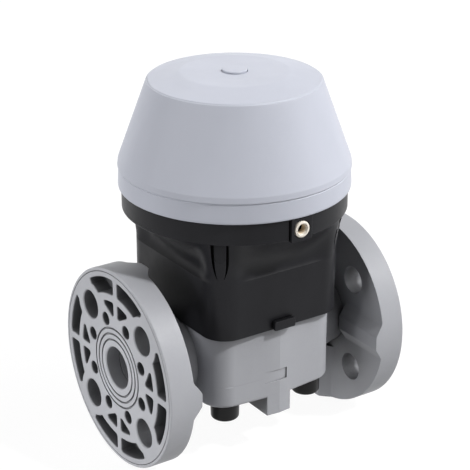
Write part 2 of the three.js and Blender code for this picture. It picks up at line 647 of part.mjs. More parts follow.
function indicator() {
  const foot = STEM_TOP + GAP;
  const neckR = 3.3;
  const neckTop = 114;
  const profile = [[0, foot], [neckR, foot], [neckR, neckTop], [INDICATOR_R, neckTop + 2.5],
    [INDICATOR_R, INDICATOR_TOP - 0.4], [INDICATOR_R - 0.4, INDICATOR_TOP], [0, INDICATOR_TOP]];
  return solid(turned(profile, MEDIUM));
}

// ---- Fasteners ----
function bodyBolt(x, y) {
  const headTop = BODY_BOTTOM - WASHER_THICKNESS - 2 * GAP;
  const headBottom = headTop - BOLT_HEAD_HEIGHT;
  const head = rod(BOLT_HEAD_R, headBottom, headTop, { x, y });
  const shank = rod(BOLT_R, headTop - 1, BOLT_TOP, { x, y });
  const socket = rod(2.9, headBottom - 1, headBottom + 2.5, { x, y, segments: 6 });
  return cut(joined(head, shank), socket);
}

function boltWasher(x, y) {
  const top = BODY_BOTTOM - GAP;
  return ring(BOLT_R + GAP, WASHER_R, top - WASHER_THICKNESS, top, SMALL).translate([x, y, 0]);
}

// The cup that closes the bolt's counterbore from below.
function boltCap(x, y) {
  const innerR = WASHER_R + 0.2;
  const floor = CAP_BOTTOM + 1.2;
  const top = BODY_BOTTOM - GAP;
  const profile = [[0, CAP_BOTTOM], [CAP_R - 0.7, CAP_BOTTOM], [CAP_R, CAP_BOTTOM + 0.7], [CAP_R, top],
    [innerR, top], [innerR, floor], [0, floor]];
  return solid(turned(profile, SMALL)).translate([x, y, 0]);
}

function hexNut(across, inner, bottom, top) {
  const hex = rod(across / Math.sqrt(3), bottom, top, { segments: 6 });
  return cut(hex, rod(inner, bottom - 1, top + 1));
}

// ---- Assembly ----
const valve = new THREE.Group();
const pipeBody = new THREE.Group();
const actuator = new THREE.Group();
const movingTrain = new THREE.Group();
valve.add(pipeBody, actuator, movingTrain);

function add(parent, name, made, finish) {
  const mesh = new THREE.Mesh(geometryOf(made), finish);
  mesh.name = name;
  parent.add(mesh);
  return mesh;
}

const flangeSolid = inletFlange();
add(pipeBody, "valve_body", valveBody(), bodyGrey);
add(pipeBody, "inlet_flange", flangeSolid, bodyGrey);
add(pipeBody, "outlet_flange", flangeSolid, bodyGrey).rotation.z = Math.PI;
[-1, 1].forEach((side, k) => {
  const insert = ring(2.2, FOOT_INSERT_R, FOOT_BOTTOM, FOOT_BOTTOM + FOOT_INSERT_LENGTH, SMALL);
  add(pipeBody, `foot_insert_${k + 1}`, insert, brass).position.y = side * FOOT_INSERT_Y;
});
const rimBottom = CLAMP_Z - RIM_HALF_THICKNESS + GAP;
const rimTop = CLAMP_Z + RIM_HALF_THICKNESS;
add(pipeBody, "diaphragm_rim", ring(MEMBRANE_R + GAP, RIM_R, rimBottom, rimTop, LARGE), rubber);
CORNERS.forEach(([sx, sy], k) => {
  const [x, y] = [sx * BOLT_X, sy * BOLT_Y];
  add(pipeBody, `body_bolt_${k + 1}`, bodyBolt(x, y), steel);
  add(pipeBody, `bolt_washer_${k + 1}`, boltWasher(x, y), steel);
  add(pipeBody, `bolt_cap_${k + 1}`, boltCap(x, y), black);
  const insert = ring(BOLT_R + GAP, BONNET_INSERT_R, 25.5, BOLT_TOP, SMALL).translate([x, y, 0]);
  add(actuator, `bonnet_insert_${k + 1}`, insert, brass);
});

const springBottom = SPRING_SEAT_Z + GAP;
const innerSpringTop = DOME_TOP - DOME_WALL - GAP;
const innerSpring = coilSpring(INNER_COIL_R, 1.6, springBottom, innerSpringTop, 8.5);
const outerSpring = coilSpring(OUTER_COIL_R, 2.2, springBottom, OUTER_SPRING_TOP, 5.5);
add(actuator, "bonnet", bonnet(), black);
add(actuator, "tag_plate", tagPlate(), black);
add(actuator, "air_port_insert", airPortInsert(), nickel);
add(actuator, "stem_guide_bush", stemGuideBush(), acetal);
add(actuator, "bush_o_ring", torus(7.65, 0.6, BUSH_RING_Z), rubber);
add(actuator, "stem_o_ring_upper", torus(5.95, 0.6, UPPER_RING_Z), rubber);
add(actuator, "stem_o_ring_lower", torus(5.95, 0.6, LOWER_RING_Z), rubber);
add(actuator, "dome_o_ring", torus(48.2, 0.6, O_RING_Z, LARGE), rubber);
add(actuator, "actuator_dome", actuatorDome(), domeGrey);
add(actuator, "outer_spring", outerSpring, springSteel);
add(actuator, "inner_spring", innerSpring, springSteel);

add(actuator, "diaphragm_membrane", membrane(), rubber);
add(movingTrain, "diaphragm_stud", rod(STUD_R, 6.5, STEM_BOTTOM - 2 * GAP), steel);
add(movingTrain, "compressor", compressor(), black);
add(movingTrain, "compressor_pin", rodAlongY(PIN_R, -10.5, 10.5, { z: PIN_Z }), steel);
add(movingTrain, "stem", stem(), steel);
add(movingTrain, "piston", piston(), acetal);
add(movingTrain, "piston_seal", pistonSeal(), rubber);
const washerBottom = SPRING_SEAT_Z + 3.4 + GAP;
const washerTop = washerBottom + 2;
const washer = ring(STEM_THREAD_R + GAP, 10.8, washerBottom, washerTop, MEDIUM);
add(movingTrain, "piston_washer", washer, steel);
const nut = hexNut(13, STEM_THREAD_R + GAP, washerTop + GAP, washerTop + GAP + 5.5);
add(movingTrain, "piston_nut", nut, steel);
add(movingTrain, "position_indicator", indicator(), domeGrey);

export default valve;
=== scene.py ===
import math
import bmesh
import bpy
import numpy as np
from mathutils import Matrix, Vector


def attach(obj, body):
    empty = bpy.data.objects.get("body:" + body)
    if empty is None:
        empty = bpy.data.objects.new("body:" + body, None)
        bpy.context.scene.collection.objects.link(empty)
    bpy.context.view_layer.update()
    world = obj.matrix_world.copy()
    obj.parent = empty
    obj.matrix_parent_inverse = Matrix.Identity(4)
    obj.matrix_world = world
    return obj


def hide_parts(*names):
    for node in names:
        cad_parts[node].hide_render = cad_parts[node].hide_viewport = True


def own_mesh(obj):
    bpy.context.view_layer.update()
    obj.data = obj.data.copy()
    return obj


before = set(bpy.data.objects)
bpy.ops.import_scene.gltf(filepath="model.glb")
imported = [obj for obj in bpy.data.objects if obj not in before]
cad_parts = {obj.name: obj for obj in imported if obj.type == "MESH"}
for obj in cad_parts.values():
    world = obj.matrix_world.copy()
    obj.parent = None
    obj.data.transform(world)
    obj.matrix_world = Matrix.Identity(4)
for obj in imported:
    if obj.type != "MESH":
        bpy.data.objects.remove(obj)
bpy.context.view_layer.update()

# Lengths are in millimetres until a mesh is made. +X runs along the pipe and +Z up the stem.
MM = 0.001
ROUND = 128  # sides of a large round
FLOOR_Z = -47.5
FACE_X = 65  # flange face
CORNERS = [(-1, -1), (1, -1), (1, 1), (-1, 1)]  # in the order of the numbered bolts
BOLT_X, BOLT_Y = 23.1, 26.4
BOLTS = [(side_x * BOLT_X, side_y * BOLT_Y) for side_x, side_y in CORNERS]
FOOT_INSERT_Y = 21.5
BODY_TOP = 22.3
PIN_Z = 36.3  # the compressor's cross pin
PORT_Z = 72.3  # the air port


# ---- Meshes ----
def linked(name, data):
    """A new object in the scene."""
    made = bpy.data.objects.new(name, data)
    bpy.context.scene.collection.objects.link(made)
    return made


def build(name, points, faces):
    """A closed mesh with its faces turned outwards."""
    mesh = bpy.data.meshes.new(name)
    mesh.from_pydata([tuple(float(c) * MM for c in p) for p in points], [], faces)
    work = bmesh.new()
    work.from_mesh(mesh)
    bmesh.ops.recalc_face_normals(work, faces=work.faces)
    work.to_mesh(mesh)
    work.free()
    return linked(name, mesh)


def filleted(outline, steps=6):
    """A closed outline of (u, v) or (u, v, fillet radius) corners, as plain points."""
    points = []
    for k, corner in enumerate(outline):
        here = np.array(corner[:2], float)
        radius = corner[2] if len(corner) > 2 else 0
        back = np.array(outline[k - 1][:2], float) - here
        ahead = np.array(outline[(k + 1) % len(outline)][:2], float) - here
        lengths = np.linalg.norm(back), np.linalg.norm(ahead)
        if not radius or min(lengths) < 1e-9:
            points.append(tuple(here))
            continue
        back, ahead = back / lengths[0], ahead / lengths[1]
        half = math.acos(max(-1, min(1, float(back @ ahead)))) / 2
        if half > math.radians(89.7) or half < math.radians(1):
            points += [tuple(here)] * (steps + 1)  # nearly straight: as many points as a fillet has
            continue
        reach = min(radius / math.tan(half), 0.49 * lengths[0], 0.49 * lengths[1])
        true_radius = reach * math.tan(half)
        middle = back + ahead
        centre = here + middle / np.linalg.norm(middle) * true_radius / math.sin(half)
        first, last = here + back * reach - centre, here + ahead * reach - centre
        turn = math.atan2(first[0] * last[1] - first[1] * last[0], float(first @ last))
        for i in range(steps + 1):
            c, s = math.cos(turn * i / steps), math.sin(turn * i / steps)
            points.append((centre[0] + c * first[0] - s * first[1],
                           centre[1] + s * first[0] + c * first[1]))
    return points


def lathe(name, profile, segments=ROUND, axis="Z", at=(0, 0, 0)):
    """A closed (radius, height[, fillet radius]) profile spun about an axis through a point."""
    profile = without_repeats(filleted(profile))
    points, starts = [], []
    for radius, height in profile:
        starts.append(len(points))
        count = 1 if radius < 1e-6 else segments
        for k in range(count):
            angle = 2 * math.pi * k / segments
            points.append((radius * math.cos(angle), radius * math.sin(angle), height))
    faces = []
    for k, (radius, _) in enumerate(profile):
        following = (k + 1) % len(profile)
        low, high = starts[k], starts[following]
        on_axis = radius < 1e-6, profile[following][0] < 1e-6
        if all(on_axis):
            continue
        for i in range(segments):
            j = (i + 1) % segments
            if on_axis[0]:
                faces.append((low, high + i, high + j))
            elif on_axis[1]:
                faces.append((low + i, low + j, high))
            else:
                faces.append((low + i, low + j, high + j, high + i))
    order = {"X": (2, 0, 1), "Y": (1, 2, 0), "Z": (0, 1, 2)}[axis]
    return build(name, [np.add([p[i] for i in order], at) for p in points], faces)


def loft(name, rings):
    """Rings of equal counts of (x, y, z) points, skinned in order and closed at both ends."""
    count = len(rings[0])
    faces = []
    for level in range(len(rings) - 1):
        low, high = level * count, (level + 1) * count
        faces += [(low + k, low + (k + 1) % count, high + (k + 1) % count, high + k)
                  for k in range(count)]
    last = (len(rings) - 1) * count
    faces += [tuple(range(count)), tuple(range(last, last + count))]
    return build(name, [p for ring in rings for p in ring], faces)


def prism(name, outline, low, high, edge=0.0):
    """An outline drawn up from low to high, with its end edges rounded by edge."""
    outline = without_repeats(outline)
    steps = [(low, 0), (high, 0)]
    if edge:
        steps = [(low, edge), (low + 0.3 * edge, 0.3 * edge), (low + edge, 0),
                 (high - edge, 0), (high - 0.3 * edge, 0.3 * edge), (high, edge)]
    return loft(name, [[(x, y, z) for x, y in offset(outline, -inset)] for z, inset in steps])


def without_repeats(outline):
    """The outline with no point on top of the one before it."""
    return [p for k, p in enumerate(outline) if math.dist(p, outline[k - 1]) > 1e-5]


def offset(outline, distance):
    """The outline moved outwards by distance along its corners' normals."""
    if not distance:
        return list(outline)
    pts = np.array(outline, float)
    area = np.sum(pts[:, 0] * np.roll(pts[:, 1], -1) - np.roll(pts[:, 0], -1) * pts[:, 1])
    edges = np.roll(pts, -1, 0) - pts
    edges /= np.linalg.norm(edges, axis=1)[:, None]
    normals = np.stack([edges[:, 1], -edges[:, 0]], 1) * (1 if area > 0 else -1)
    before = np.roll(normals, 1, 0)
    mitre = (normals + before) / np.maximum(1 + np.sum(normals * before, 1), 0.3)[:, None]
    return [tuple(p) for p in pts + mitre * distance]


def box(name, low, high, edge=0.0):
    """A block between two opposite corners."""
    outline = [(low[0], low[1]), (high[0], low[1]), (high[0], high[1]), (low[0], high[1])]
    return prism(name, outline, low[2], high[2], edge)


def moved(piece, matrix):
    """Applies a matrix in millimetres to the mesh itself."""
    scaled = matrix.copy()
    scaled.translation = matrix.translation * MM
    piece.data.transform(scaled)
    return piece


def copied(piece, matrix):
    twin = piece.copy()
    twin.data = piece.data.copy()
    bpy.context.scene.collection.objects.link(twin)
    return moved(twin, matrix)


def about(axis, degrees):
    return Matrix.Rotation(math.radians(degrees), 4, axis)


def shifted(x=0, y=0, z=0):
    return Matrix.Translation((x, y, z))


def combined(target, how, *tools):
    """The target joined with, cut by or kept inside each tool in turn; the tools are used up."""
    for tool in tools:
        step = target.modifiers.new("step", "BOOLEAN")
        step.operation, step.solver, step.object = how, "MANIFOLD", tool
        bpy.context.view_layer.update()
        result = target.evaluated_get(bpy.context.evaluated_depsgraph_get())
        made = bpy.data.meshes.new_from_object(result)
        target.modifiers.remove(step)
        target.data = made
        bpy.data.objects.remove(tool)
    return target


def joined(target, *tools):
    return combined(target, "UNION", *tools)


def cut(target, *tools):
    return combined(target, "DIFFERENCE", *tools)


def smooth(piece, angle=28):
    piece.data.shade_smooth()
    piece.data.set_sharp_from_angle(angle=math.radians(angle))
    weighted = piece.modifiers.new("weighted", "WEIGHTED_NORMAL")
    weighted.keep_sharp = True
    weighted.weight = 80
    return piece


def placed(piece, name, body, nodes, material, angle=28):
    """The finished piece takes its name, finish and body, and stands for its CAD nodes."""
    piece.name = piece.data.name = name
    smooth(piece, angle)
    piece.data.materials.clear()
    piece.data.materials.append(material)
    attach(piece, body)
    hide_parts(*nodes)
    return piece


# ---- Materials ----
def rgb(code):
    """A six-digit sRGB colour as linear red, green, blue and alpha."""
    parts = [int(code[i:i + 2], 16) / 255 for i in (0, 2, 4)]
    return tuple(c / 12.92 if c <= 0.04045 else ((c + 0.055) / 1.055) ** 2.4 for c in parts) + (1.0,)


class Finish:
    """A procedural material: mottled colour, uneven gloss, fine surface relief and rubbed edges."""

    def __init__(self, name, metallic=0.0, ior=1.5, specular=0.5):
        self.material = bpy.data.materials.new(name)
        self.material.use_nodes = True
        self.tree = self.material.node_tree
        self.shader = self.tree.nodes["Principled BSDF"]
        self.shader.inputs["Metallic"].default_value = metallic
        self.shader.inputs["IOR"].default_value = ior
        self.shader.inputs["Specular IOR Level"].default_value = specular
        place = self.node("ShaderNodeTexCoord")
        scale = self.node("ShaderNodeMapping")
        scale.inputs["Scale"].default_value = (1 / MM,) * 3
        self.link(place.outputs["Object"], scale.inputs["Vector"])
        self.here = scale.outputs["Vector"]

    def node(self, kind, **settings):
        made = self.tree.nodes.new(kind)
        for key, value in settings.items():
            setattr(made, key, value)
        return made

    def link(self, source, target):
        self.tree.links.new(source, target)

    def noise(self, size, detail=3.0, stretch=(1, 1, 1)):
        """Noise whose features are about size millimetres across."""
        vector = self.here
        if stretch != (1, 1, 1):
            squeeze = self.node("ShaderNodeMapping")
            squeeze.inputs["Scale"].default_value = stretch
            self.link(self.here, squeeze.inputs["Vector"])
            vector = squeeze.outputs["Vector"]
        made = self.node("ShaderNodeTexNoise")
        made.inputs["Scale"].default_value = 1 / size
        made.inputs["Detail"].default_value = detail
        self.link(vector, made.inputs["Vector"])
        return made.outputs["Fac"]

    def ranged(self, source, low, high, start=0.3, end=0.7):
        made = self.node("ShaderNodeMapRange")
        for key, value in {"From Min": start, "From Max": end, "To Min": low, "To Max": high}.items():
            made.inputs[key].default_value = value
        self.link(source, made.inputs["Value"])
        return made.outputs["Result"]

    def mix(self, factor, first, second):
        made = self.node("ShaderNodeMix", data_type="RGBA")
        for index, value in ((0, factor), (6, first), (7, second)):
            if isinstance(value, tuple):
                made.inputs[index].default_value = value
            else:
                self.link(value, made.inputs[index])
        return made.outputs[2]

    def maths(self, operation, first, second):
        made = self.node("ShaderNodeMath", operation=operation)
        self.link(first, made.inputs[0])
        self.link(second, made.inputs[1])
        return made.outputs[0]

    def rounded(self, radius):
        """The normal with edges rounded to radius millimetres."""
        made = self.node("ShaderNodeBevel", samples=6)
        made.inputs["Radius"].default_value = radius * MM
        return made.outputs["Normal"]

    def hollows(self, reach):
        """1 in the open, falling towards 0 deep in a hollow reach millimetres across."""
        made = self.node("ShaderNodeAmbientOcclusion", samples=8)
        made.inputs["Distance"].default_value = reach * MM
        return made.outputs["AO"]

    def edges(self, radius):
        """1 near an edge, fading to 0 within radius millimetres."""
        geometry = self.node("ShaderNodeNewGeometry")
        dot = self.node("ShaderNodeVectorMath", operation="DOT_PRODUCT")
        self.link(self.rounded(radius), dot.inputs[0])
        self.link(geometry.outputs["Normal"], dot.inputs[1])
        return self.ranged(dot.outputs["Value"], 1.0, 0.0, 0.86, 0.995)

    def finish(self, colour, roughness, relief, bevel=0.3):
        """relief is a list of (height source, height in millimetres)."""
        self.link(colour, self.shader.inputs["Base Color"])
        self.link(roughness, self.shader.inputs["Roughness"])
        normal = self.rounded(bevel) if bevel else None
        for source, height in relief:
            bump = self.node("ShaderNodeBump")
            bump.inputs["Strength"].default_value = 1.0
            bump.inputs["Distance"].default_value = height * MM
            self.link(source, bump.inputs["Height"])
            if normal:
                self.link(normal, bump.inputs["Normal"])
            normal = bump.outputs["Normal"]
        if normal:
            self.link(normal, self.shader.inputs["Normal"])
        return self.material


def plastic(name, base, light, dark, worn, roughness, grain=0.35, height=0.012, specular=0.5, painted_hollow_shade=0.0):
    """Moulded plastic: flow mottling, fine grain and lighter rubbed edges; painted shade darkens hollows."""
    made = Finish(name, specular=specular)
    flow = made.noise(22.0, 4.0, (1, 1, 0.45))
    fine = made.noise(grain, 2.0)
    speck = made.noise(1.3, 5.0)
    colour = made.mix(made.ranged(flow, 0.0, 1.0), rgb(dark), rgb(light))
    colour = made.mix(made.ranged(speck, 0.0, 0.55, 0.45, 0.75), colour, rgb(base))
    rubbed = made.maths("MULTIPLY", made.edges(0.55), made.ranged(made.noise(5.0, 4.0), 0.15, 0.75))
    colour = made.mix(rubbed, colour, rgb(worn))
    # Painted shade: hollows found by ambient occlusion are darkened towards near-black in the colour,
    # standing in for shade.
    if painted_hollow_shade:
        shade = made.ranged(made.hollows(16.0), painted_hollow_shade, 0.0, 0.3, 0.95)
        hollow_shade_colour = tuple(c * 0.1 for c in rgb(dark)[:3]) + (1.0,)
        colour = made.mix(shade, colour, hollow_shade_colour)
    gloss = made.ranged(made.noise(9.0, 4.0), roughness - 0.05, roughness + 0.06)
    gloss = made.maths("ADD", gloss, made.ranged(fine, -0.02, 0.03))
    return made.finish(colour, gloss, [(fine, height), (made.noise(6.0, 2.0), 0.03)])


def rubber(name, base, light, roughness=0.72):
    """Matt moulded rubber, slightly patchy."""
    made = Finish(name, specular=0.35)
    fine = made.noise(0.5, 3.0)
    colour = made.mix(made.ranged(made.noise(4.0, 4.0), 0.0, 1.0), rgb(base), rgb(light))
    gloss = made.ranged(fine, roughness - 0.08, roughness + 0.1)
    return made.finish(colour, gloss, [(fine, 0.02)], 0.2)


def metal(name, base, light, roughness, stretch=(1, 1, 1)):
    """Turned or drawn metal: fine tool marks along the stretch, dulled in patches."""
    made = Finish(name, metallic=1.0)
    marks = made.noise(0.25, 2.0, stretch)
    patches = made.noise(3.0, 4.0)
    colour = made.mix(made.ranged(patches, 0.0, 1.0), rgb(base), rgb(light))
    gloss = made.ranged(patches, roughness - 0.05, roughness + 0.1)
    gloss = made.maths("ADD", gloss, made.ranged(marks, -0.04, 0.06))
    return made.finish(colour, gloss, [(marks, 0.006)], 0.15)


GREY_PVC = plastic("grey_pvc", "9FA0A5", "A2A3A8", "9B9CA1", "B6B7BB", 0.47, specular=0.35, painted_hollow_shade=0.9)
DOME_GREY = plastic("dome_grey", "B3B6C1", "B5B8C3", "B0B3BE", "BFC2CB", 0.5, grain=0.3, height=0.008)
BLACK_NYLON = plastic("black_nylon", "1B1B1E", "1F1F22", "17171A", "2E2E32", 0.38, grain=0.45, height=0.016,
                      specular=0.14, painted_hollow_shade=0.75)
CAP_BLACK = plastic("cap_black", "0E0E0F", "121213", "0A0A0B", "242426", 0.32, specular=0.2)
WHITE_ACETAL = plastic("white_acetal", "DCDAD2", "E4E2DA", "D4D2CA", "ECEAE4", 0.38)
DIAPHRAGM_RUBBER = rubber("diaphragm_rubber", "101011", "1A1A1B")
SEAL_RUBBER = rubber("seal_rubber", "0D0D0E", "171718", 0.6)
STAINLESS = metal("stainless_steel", "B4B7BB", "C6C8CB", 0.28, (1, 1, 9))
SPRING_STEEL = metal("spring_steel", "6D7178", "84888F", 0.34)
BRASS = metal("brass_insert", "B08C45", "C8A55C", 0.33, (1, 1, 9))


def port_insert():
    """A cream collar and a darker lining in the hole, told apart by distance from the port's axis."""
    made = Finish("port_insert")
    from_axis = made.node("ShaderNodeVectorMath", operation="DISTANCE")
    from_axis.inputs[1].default_value = (0, 0, PORT_Z)
    flattened = made.node("ShaderNodeVectorMath", operation="MULTIPLY")
    flattened.inputs[1].default_value = (1, 0, 1)
    made.link(made.here, flattened.inputs[0])
    made.link(flattened.outputs[0], from_axis.inputs[0])
    collar = made.mix(made.ranged(made.noise(0.8), 0.0, 1.0), rgb("D8CFC2"), rgb("ECE6DB"))
    inside = made.ranged(from_axis.outputs["Value"], 1.0, 0.0, 2.05, 2.3)
    colour = made.mix(inside, collar, rgb("D2C0A2"))
    return made.finish(colour, made.ranged(made.noise(0.6), 0.3, 0.45), [(made.noise(0.25), 0.01)], 0.1)


PORT_INSERT = port_insert()


# ---- Flanges ----
# Drawn with the face at z = 0 and outwards +z; x runs along -Y and y up.
TO_INLET = Matrix(((0, 0, -1, -FACE_X), (-1, 0, 0, 0), (0, 1, 0, 0), (0, 0, 0, 1)))
FLANGE_R, BORE_R = 47.5, 10.0
HUB_R, HUB_Z = 17.2, -6.9  # where the neck enters
WEB_Z, RIB_Z = -12.2, -16.4  # backs of the disc and of its ribs
BOLT_CIRCLE_R = 32.8
BOLT_OFFSET = BOLT_CIRCLE_R * math.sqrt(0.5)
SPOKE_HALF = 1.75  # half the web left between two pockets
BOLT_HOLE_R = 6.8
SMALL_HOLE_R, SMALL_HOLE_CIRCLE_R = 3.1, 23.4
CHORD_ROUND = 40  # fillet that turns an arc's chords into a smooth curve


def arc(centre, radius, start, end, chord=2.6):
    """Points on an arc, the two ends left out."""
    count = max(2, round(abs(end - start) * radius / chord))
    angles = [start + (end - start) * k / count for k in range(1, count)]
    return [(centre[0] + radius * math.cos(a), centre[1] + radius * math.sin(a), CHORD_ROUND) for a in angles]


def outer_pocket():
    """The long pocket under the rim, from a spoke to the wall around a bolt hole."""
    wall, rim, inner = 11.4, 43.2, 35.8

    def meeting(radius):
        cosine = (radius ** 2 + BOLT_CIRCLE_R ** 2 - wall ** 2) / (2 * radius * BOLT_CIRCLE_R)
        return math.pi / 4 + math.acos(cosine)

    def at(radius, angle):
        return radius * math.cos(angle), radius * math.sin(angle)

    def seen(radius, angle):
        x, y = at(radius, angle)
        return math.atan2(y - BOLT_OFFSET, x - BOLT_OFFSET)

    end = rim - 2.3  # the blunt end beside the bolt hole
    tip, heel = meeting(end), meeting(inner)
    top, low = math.acos(SPOKE_HALF / rim), math.acos(SPOKE_HALF / inner)
    return filleted([
        (*at(end, tip), 0.9), (*at(rim, tip), 0.9), *arc((0, 0), rim, tip, top), (*at(rim, top), 1.3),
        (*at(inner, low), 1.3), *arc((0, 0), inner, low, heel), (*at(inner, heel), 1.1),
        *arc((BOLT_OFFSET, BOLT_OFFSET), wall, seen(inner, heel), seen(end, tip))], 4)


def inner_pocket():
    """The small pocket between a spoke and the ring of eight holes."""
    rim = 32.1
    start, end = math.atan2(30.3, 10.2), math.acos(SPOKE_HALF / rim)
    return filleted([
        (SPOKE_HALF, 25.6, 0.8), (3.3, 25.3, 1.2), (10.2, 29, 1.2),
        (rim * math.cos(start), rim * math.sin(start), 0.8), *arc((0, 0), rim, start, end),
        (rim * math.cos(end), rim * math.sin(end), 0.9)], 4)


def pocket_cutter(outline):
    """Flares at the mouth, drafts inwards and rounds into its floor."""
    outline = without_repeats(outline)
    steps = [(1.0, 0.5), (0.0, 0.38), (-0.12, 0.2), (-0.35, 0.06), (-0.7, 0.0),
             (-7.0, -0.12), (-7.5, -0.25), (-7.8, -0.55)]
    return loft("pocket", [[(x, y, z) for x, y in offset(outline, grow)] for z, grow in steps])


def round_cutter(radius, depth, mouth, floor=0.0):
    """A blind hole with a chamfered mouth; floor rounds its bottom edge."""
    return lathe("hole", [(0, 1), (radius + mouth, 1), (radius + mouth, 0, 0.3), (radius, -mouth, 0.4),
                          (radius, -depth, floor), (0, -depth)], 48)


def flange():
    """A disc ribbed at the back and cut to its envelope, then the holes and sixteen pockets in the face."""
    blank = lathe("flange", [(BORE_R, HUB_Z), (HUB_R, HUB_Z), (HUB_R, WEB_Z), (49, WEB_Z), (49, 2),
                             (BORE_R, 2)])
    section = filleted([(-12, -1.5), (12, -1.5), (12, -0.15), (9.2, -0.02, 4), (3.3, 4, 1.0), (-3.3, 4, 1.0),
                        (-9.2, -0.02, 4), (-12, -0.15)])
    to_back = Matrix(((1, 0, 0, 0), (0, 0, 1, 0), (0, -1, 0, WEB_Z), (0, 0, 0, 1)))
    for k in range(4):
        rib = prism("rib", section, 18.4, 50)
        blank = joined(blank, moved(rib, about("Z", 90 * k) @ to_back))
    grooves = [p for r in (13.6, 16.4, 19.1) for p in
               ((r - 0.5, 0, 0.1), (r - 0.3, -0.9, 0.1), (r + 0.3, -0.9, 0.1), (r + 0.5, 0, 0.1))]
    rim_line = [(45.6, 0, 0.1), (45.85, -0.45), (46.1, 0, 0.1)]
    envelope = lathe("envelope", [(0, 0), *grooves, *rim_line, (FLANGE_R, 0, 0.75), (FLANGE_R, RIB_Z, 0.4),
                                  (0, RIB_Z)], 192)
    combined(blank, "INTERSECT", envelope)
    for side_x, side_y in CORNERS:
        place = shifted(side_x * BOLT_OFFSET, side_y * BOLT_OFFSET)
        cut(blank, moved(round_cutter(BOLT_HOLE_R, 20, 0.5), place))
    cut(blank, round_cutter(BORE_R, 7.5, 0.5))
    for k in range(8):
        angle = math.radians(22.5 + 45 * k)
        place = shifted(SMALL_HOLE_CIRCLE_R * math.cos(angle), SMALL_HOLE_CIRCLE_R * math.sin(angle))
        cut(blank, moved(round_cutter(SMALL_HOLE_R, 7.8, 0.35, 0.6), place))
    for outline in (outer_pocket(), inner_pocket()):
        for mirror in (1, -1):
            for k in range(4):
                turned = about("Z", 90 * k) @ Matrix.Diagonal((mirror, 1, 1, 1))
                piece = moved(pocket_cutter(outline), turned)
                if mirror < 0:
                    piece.data.flip_normals()
                cut(blank, piece)
    return moved(blank, TO_INLET)


inlet = flange()
outlet = copied(inlet, about("Z", 180))
placed(inlet, "InletFlange", "housing", ["inlet_flange"], GREY_PVC)
placed(outlet, "OutletFlange", "housing", ["outlet_flange"], GREY_PVC)


# ---- Body ----
BODY_X, BODY_Y, BODY_CORNER = 34.3, 37.7, 12
FOOT_X, FOOT_Y = 6.6, 37.04


def creased(half_x, half_y, radius, slope=0.1, proud=0.0):
    """A rounded rectangle whose long faces fall back from a crease; proud lifts one end of each."""
    low = half_y - slope * half_x
    return filleted([(0, -half_y, 2), (half_x, -low, radius), (half_x, low + proud, radius),
                     (0, half_y, 2), (-half_x, low, radius), (-half_x, -low - proud, radius)], 10)


def stacked(outline_at, heights):
    """A ring at each height, its outline drawn from the values that follow the height."""
    return [[(x, y, z) for x, y in outline_at(*rest)] for z, *rest in heights]


def bowl_curve(top, bottom, radius, steps=24):
    """A quarter ellipse from its lowest point on the axis out to radius at top."""
    angles = [k / steps * math.pi / 2 for k in range(steps + 1)]
    return [(radius * math.sin(a), top - (top - bottom) * math.cos(a)) for a in angles]


def waterway(side):
    """Cutters for the pipe bore on one side and for the sloping passage from it up to the weir."""
    start, end = Vector((side * BODY_X, 0, -0.3)), Vector((side * 10.9, 0, 5))
    along = end - start
    radius = 9.1
    tip = [(radius * math.cos(k * math.pi / 16), along.length + radius * math.sin(k * math.pi / 16))
           for k in range(1, 8)]
    passage = lathe("passage", [(0, 0), (radius, 0), (radius, along.length), *tip,
                                (0, along.length + radius)], 64)
    turn = along.to_track_quat("Z", "Y").to_matrix().to_4x4()
    moved(passage, Matrix.Translation(start) @ turn)
    bore = lathe("bore", [(0, 28), (9.6, 28), (BORE_R, 28.6), (BORE_R, 70), (0, 70)], 64, "X")
    if side < 0:
        moved(bore, about("Z", 180))
    return passage, bore


def foot():
    outline = filleted([(-FOOT_X, -FOOT_Y, 0.4), (0, -BODY_Y, 2), (FOOT_X, -FOOT_Y, 0.4),
                        (FOOT_X, FOOT_Y, 0.4), (0, BODY_Y, 2), (-FOOT_X, FOOT_Y, 0.4)])
    return prism("foot", outline, -26, -15.5, 0.35)


def necks():
    """Both pipe necks in one turned piece, flattened on top between the flanges."""
    end, end_z = 16.9, 57.8
    profile = [(0, -end_z), (16.4, -end_z), (end, -57.3), (end, -51.4, 6), (21.1, -BODY_X, 14),
               (21.1, BODY_X, 14), (end, 51.4, 6), (end, 57.3), (16.4, end_z), (0, end_z)]
    return cut(lathe("necks", profile, 96, "X"), box("over", (-35.8, -40, 18.6), (35.8, 40, 40)))


def valve_body():
    step = 0.28  # the lower half's front stands out by this at one end
    edge = [(-16.9, 1.5), (-16.75, 0.85), (-16.4, 0.4), (-15.9, 0.1), (-15.3, 0)]
    heights = [(z, inset, step) for z, inset in edge] + [(-6.5, 0, step), (-6.2, 0, 0), (18.6, 0, 0)]

    def outline_at(inset, proud=0.0):
        return creased(BODY_X - inset, BODY_Y - inset, BODY_CORNER - inset, 0.1, proud)

    body = loft("body", stacked(outline_at, heights))
    top = loft("top", stacked(outline_at, [(17.6, 2.5), (BODY_TOP, 2.5)]))
    joined(body, top, foot(), necks())
    seat = lathe("seat", [(0, 20.6), (30.5, 20.6), (30.5, 24), (0, 24)])
    bowl = lathe("bowl", [*bowl_curve(BODY_TOP, 3.3, 24.1, 16), (24.1, 27), (0, 27)], 96)
    cut(body, *waterway(-1), *waterway(1), seat, bowl)
    for x, y in BOLTS:
        cut(body, lathe("hole", [(0, -18), (3.6, -18), (3.6, 24), (0, 24)], 32, at=(x, y, 0)))
    socket = [(0, -27), (4.4, -27), (3.8, -25.6), (3.8, -18.2), (0, -18.2)]
    for side in (-1, 1):
        cut(body, lathe("hole", socket, 40, at=(0, side * FOOT_INSERT_Y, 0)))
    frame_recess = [(-12.4, -40), (-12.4, -36.7), (0, -37.3), (4.1, -36.75), (4.1, -40)]
    return cut(body, prism("recess", frame_recess, -8.7, -3.1))


placed(valve_body(), "ValveBody", "housing", ["valve_body"], GREY_PVC)


